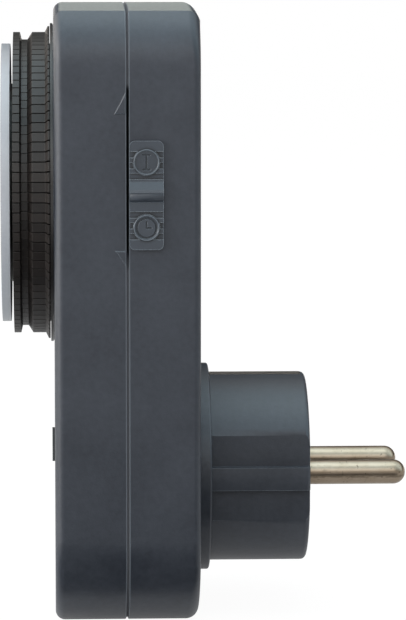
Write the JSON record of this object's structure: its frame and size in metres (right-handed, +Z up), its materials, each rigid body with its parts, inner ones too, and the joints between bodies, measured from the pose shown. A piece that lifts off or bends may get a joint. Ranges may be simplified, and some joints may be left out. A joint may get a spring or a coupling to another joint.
{
  "type": "plug-in timer",
  "caption": "Mechanical mains timer: a tall rounded case with a tappet dial above a recessed socket in front, a slide switch on one side and a round pinned plug on the back.",
  "frame": {"origin": "centre of the plug's face, between the two pins", "axes": "+X along the pins towards the wall, +Y across the case away from the slide switch, +Z up along the case"},
  "size_m": [0.0792, 0.0669, 0.1201],
  "materials": {
    "case_plastic": "fine spark-eroded texture, anthracite",
    "socket_plastic": "satin black",
    "inner_plastic": "satin",
    "dial_plastic": "satin, light bluish grey",
    "cap_plastic": "satin, light bluish grey",
    "tappet_plastic": "satin, near black",
    "gear_plastic": "natural acetal",
    "switch_plastic": "phenolic",
    "steel": "zinc plated",
    "motor_can": "drawn can",
    "pin_nickel": "nickel plated, satin",
    "earth_metal": "plated strip",
    "contact_brass": "stamped"
  },
  "bodies": {
    "case": {"front_shell": "case_plastic", "rear_shell": "case_plastic", "case_screws": "steel", "socket_well": "socket_plastic", "contact_carrier": "inner_plastic", "live_contact": "contact_brass", "neutral_contact": "contact_brass", "live_pin": "pin_nickel", "neutral_pin": "pin_nickel", "earth_frame": "earth_metal", "dial_spindle": "steel", "dial_cap": "cap_plastic", "intermediate_axle": "steel", "movement_plate": "steel", "plate_screws": "steel", "motor": "motor_can", "motor_screws": "steel", "switch_body": "switch_plastic", "lever_pin": "steel", "live_busbar": "contact_brass", "switched_busbar": "contact_brass", "neutral_busbar": "contact_brass"},
    "dial": {"dial_carrier": "dial_plastic", "dial_gear": "gear_plastic"},
    "tappets_01": {"tappets_hour_01": "tappet_plastic"},
    "tappets_02": {"tappets_hour_02": "tappet_plastic"},
    "tappets_03": {"tappets_hour_03": "tappet_plastic"},
    "tappets_04": {"tappets_hour_04": "tappet_plastic"},
    "tappets_05": {"tappets_hour_05": "tappet_plastic"},
    "tappets_06": {"tappets_hour_06": "tappet_plastic"},
    "tappets_07": {"tappets_hour_07": "tappet_plastic"},
    "tappets_08": {"tappets_hour_08": "tappet_plastic"},
    "tappets_09": {"tappets_hour_09": "tappet_plastic"},
    "tappets_10": {"tappets_hour_10": "tappet_plastic"},
    "tappets_11": {"tappets_hour_11": "tappet_plastic"},
    "tappets_12": {"tappets_hour_12": "tappet_plastic"},
    "tappets_13": {"tappets_hour_13": "tappet_plastic"},
    "tappets_14": {"tappets_hour_14": "tappet_plastic"},
    "tappets_15": {"tappets_hour_15": "tappet_plastic"},
    "tappets_16": {"tappets_hour_16": "tappet_plastic"},
    "tappets_17": {"tappets_hour_17": "tappet_plastic"},
    "tappets_18": {"tappets_hour_18": "tappet_plastic"},
    "tappets_19": {"tappets_hour_19": "tappet_plastic"},
    "tappets_20": {"tappets_hour_20": "tappet_plastic"},
    "tappets_21": {"tappets_hour_21": "tappet_plastic"},
    "tappets_22": {"tappets_hour_22": "tappet_plastic"},
    "tappets_23": {"tappets_hour_23": "tappet_plastic"},
    "tappets_24": {"tappets_hour_24": "tappet_plastic"},
    "wheel": {"intermediate_wheel": "gear_plastic"},
    "pinion": {"motor_pinion": "gear_plastic"},
    "lever": {"switch_lever": "gear_plastic"},
    "plunger": {"switch_plunger": "gear_plastic"},
    "slider": {"override_slider": "case_plastic", "slider_carriage": "inner_plastic"}
  },
  "joints": [
    {"name": "dial_spin", "type": "hinge", "parent": "case", "child": "dial", "pos_m": [-0.04975, 0, 0.0568], "axis": [1, 0, 0], "continuous": true},
    {"name": "tappet_slide_01", "type": "slide", "parent": "dial", "child": "tappets_01", "axis": [-1, 0, 0], "range_m": [0, 0.002]},
    {"name": "tappet_slide_02", "type": "slide", "parent": "dial", "child": "tappets_02", "axis": [-1, 0, 0], "range_m": [0, 0.002]},
    {"name": "tappet_slide_03", "type": "slide", "parent": "dial", "child": "tappets_03", "axis": [-1, 0, 0], "range_m": [0, 0.002]},
    {"name": "tappet_slide_04", "type": "slide", "parent": "dial", "child": "tappets_04", "axis": [-1, 0, 0], "range_m": [0, 0.002]},
    {"name": "tappet_slide_05", "type": "slide", "parent": "dial", "child": "tappets_05", "axis": [-1, 0, 0], "range_m": [0, 0.002]},
    {"name": "tappet_slide_06", "type": "slide", "parent": "dial", "child": "tappets_06", "axis": [-1, 0, 0], "range_m": [0, 0.002]},
    {"name": "tappet_slide_07", "type": "slide", "parent": "dial", "child": "tappets_07", "axis": [-1, 0, 0], "range_m": [0, 0.002]},
    {"name": "tappet_slide_08", "type": "slide", "parent": "dial", "child": "tappets_08", "axis": [-1, 0, 0], "range_m": [0, 0.002]},
    {"name": "tappet_slide_09", "type": "slide", "parent": "dial", "child": "tappets_09", "axis": [-1, 0, 0], "range_m": [0, 0.002]},
    {"name": "tappet_slide_10", "type": "slide", "parent": "dial", "child": "tappets_10", "axis": [-1, 0, 0], "range_m": [0, 0.002]},
    {"name": "tappet_slide_11", "type": "slide", "parent": "dial", "child": "tappets_11", "axis": [-1, 0, 0], "range_m": [0, 0.002]},
    {"name": "tappet_slide_12", "type": "slide", "parent": "dial", "child": "tappets_12", "axis": [-1, 0, 0], "range_m": [0, 0.002]},
    {"name": "tappet_slide_13", "type": "slide", "parent": "dial", "child": "tappets_13", "axis": [-1, 0, 0], "range_m": [0, 0.002]},
    {"name": "tappet_slide_14", "type": "slide", "parent": "dial", "child": "tappets_14", "axis": [-1, 0, 0], "range_m": [0, 0.002]},
    {"name": "tappet_slide_15", "type": "slide", "parent": "dial", "child": "tappets_15", "axis": [-1, 0, 0], "range_m": [0, 0.002]},
    {"name": "tappet_slide_16", "type": "slide", "parent": "dial", "child": "tappets_16", "axis": [-1, 0, 0], "range_m": [0, 0.002]},
    {"name": "tappet_slide_17", "type": "slide", "parent": "dial", "child": "tappets_17", "axis": [-1, 0, 0], "range_m": [0, 0.002]},
    {"name": "tappet_slide_18", "type": "slide", "parent": "dial", "child": "tappets_18", "axis": [-1, 0, 0], "range_m": [0, 0.002]},
    {"name": "tappet_slide_19", "type": "slide", "parent": "dial", "child": "tappets_19", "axis": [-1, 0, 0], "range_m": [0, 0.002]},
    {"name": "tappet_slide_20", "type": "slide", "parent": "dial", "child": "tappets_20", "axis": [-1, 0, 0], "range_m": [0, 0.002]},
    {"name": "tappet_slide_21", "type": "slide", "parent": "dial", "child": "tappets_21", "axis": [-1, 0, 0], "range_m": [0, 0.002]},
    {"name": "tappet_slide_22", "type": "slide", "parent": "dial", "child": "tappets_22", "axis": [-1, 0, 0], "range_m": [0, 0.002]},
    {"name": "tappet_slide_23", "type": "slide", "parent": "dial", "child": "tappets_23", "axis": [-1, 0, 0], "range_m": [0, 0.002]},
    {"name": "tappet_slide_24", "type": "slide", "parent": "dial", "child": "tappets_24", "axis": [-1, 0, 0], "range_m": [0, 0.002]},
    {"name": "wheel_spin", "type": "hinge", "parent": "case", "child": "wheel", "pos_m": [-0.04975, 0.00821, 0.03425], "axis": [1, 0, 0], "continuous": true},
    {"name": "pinion_spin", "type": "hinge", "parent": "case", "child": "pinion", "pos_m": [-0.04975, 0.00821, 0.04875], "axis": [1, 0, 0], "continuous": true},
    {"name": "lever_swing", "type": "hinge", "parent": "case", "child": "lever", "pos_m": [-0.04155, -0.0255, 0.0778], "axis": [0, 1, 0], "range_deg": [0, 5.5]},
    {"name": "plunger_slide", "type": "slide", "parent": "case", "child": "plunger", "axis": [-1, 0, 0], "range_m": [0, 0.00106]},
    {"name": "slider_slide", "type": "slide", "parent": "case", "child": "slider", "axis": [0, 0, 1], "range_m": [0, 0.0053]}
  ],
  "couplings": [
    {"joint": "wheel_spin", "follows": "dial_spin", "ratio": -5},
    {"joint": "pinion_spin", "follows": "dial_spin", "ratio": 24},
    {"joint": "lever_swing", "follows": "tappet_slide_07", "rad_per_m": 47.619},
    {"joint": "plunger_slide", "follows": "tappet_slide_07", "ratio": 0.5238}
  ]
}
